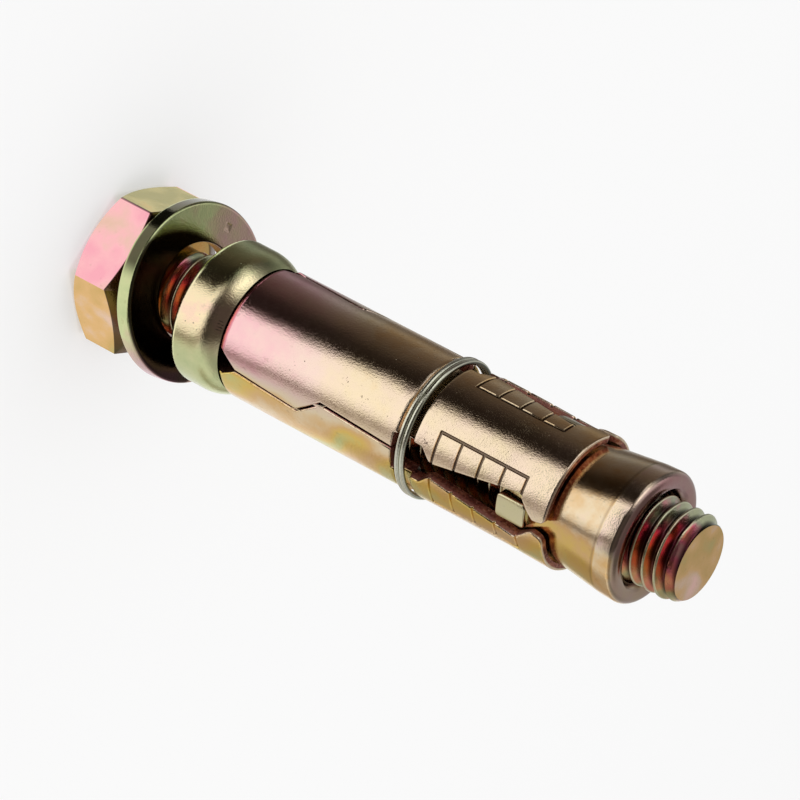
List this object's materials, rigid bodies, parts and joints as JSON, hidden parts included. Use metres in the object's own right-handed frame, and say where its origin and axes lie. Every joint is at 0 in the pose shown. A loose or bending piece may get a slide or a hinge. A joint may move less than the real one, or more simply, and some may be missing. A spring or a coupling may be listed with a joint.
{
  "type": "shield anchor",
  "caption": "Loose bolt shield anchor: hex bolt, washer and ferrule, a split steel shield held by a wire ring, and a keyed cone nut that spreads it in a drilled hole.",
  "frame": {"origin": "centre of the hex head's outer face, on which the anchor stands", "axes": "+Z along the bolt from its head to its threaded tip; -Y is the side that the picture looks at"},
  "size_m": [0.0201, 0.0199, 0.0776],
  "materials": {
    "bolt_zinc": "yellow passivated zinc, semi-bright, with pink and green tints",
    "washer_zinc": "yellow passivated zinc, semi-bright, mostly green",
    "ferrule_zinc": "yellow passivated zinc, semi-bright",
    "segment_zinc": "yellow passivated zinc, semi-bright, with darker rough sheared edges",
    "wire_zinc": "pale green and silver zinc plated wire",
    "nut_zinc": "yellow passivated zinc, semi-bright"
  },
  "bodies": {
    "bolt": {"hex_bolt": "bolt_zinc"},
    "washer": {"flat_washer": "washer_zinc"},
    "shield": {"end_ferrule": "ferrule_zinc", "clip_ring": "wire_zinc"},
    "segment_1": {"shield_segment_1": "segment_zinc"},
    "segment_2": {"shield_segment_2": "segment_zinc"},
    "segment_3": {"shield_segment_3": "segment_zinc"},
    "nut": {"cone_nut": "nut_zinc"}
  },
  "joints": [
    {"name": "washer_slide", "type": "slide", "parent": "bolt", "child": "washer", "axis": [0, 0, 1], "range_m": [0, 0.001]},
    {"name": "bolt_turn", "type": "hinge", "parent": "bolt", "child": "shield", "pos_m": [0, 0, 0.04], "axis": [0, 0, -1], "range_deg": [0, 1080]},
    {"name": "nut_draw", "type": "slide", "parent": "shield", "child": "nut", "axis": [0, 0, -1], "range_m": [0, 0.00451]},
    {"name": "spread_1", "type": "hinge", "parent": "shield", "child": "segment_1", "pos_m": [-0.00227, -0.00588, 0.01545], "axis": [0.933, -0.36, 0], "range_deg": [0, 0.91], "deforming": ["clip_ring"]},
    {"name": "spread_2", "type": "hinge", "parent": "shield", "child": "segment_2", "pos_m": [0.00622, 0.00097, 0.01545], "axis": [-0.1547, 0.988, 0], "range_deg": [0, 0.91]},
    {"name": "spread_3", "type": "hinge", "parent": "shield", "child": "segment_3", "pos_m": [-0.00396, 0.0049, 0.01545], "axis": [-0.7782, -0.628, 0], "range_deg": [0, 0.91]}
  ],
  "couplings": [
    {"joint": "nut_draw", "follows": "bolt_turn", "m_per_rad": 0.00023873},
    {"joint": "spread_1", "follows": "bolt_turn", "ratio": 0.00083333},
    {"joint": "spread_2", "follows": "bolt_turn", "ratio": 0.00083333},
    {"joint": "spread_3", "follows": "bolt_turn", "ratio": 0.00083333}
  ]
}
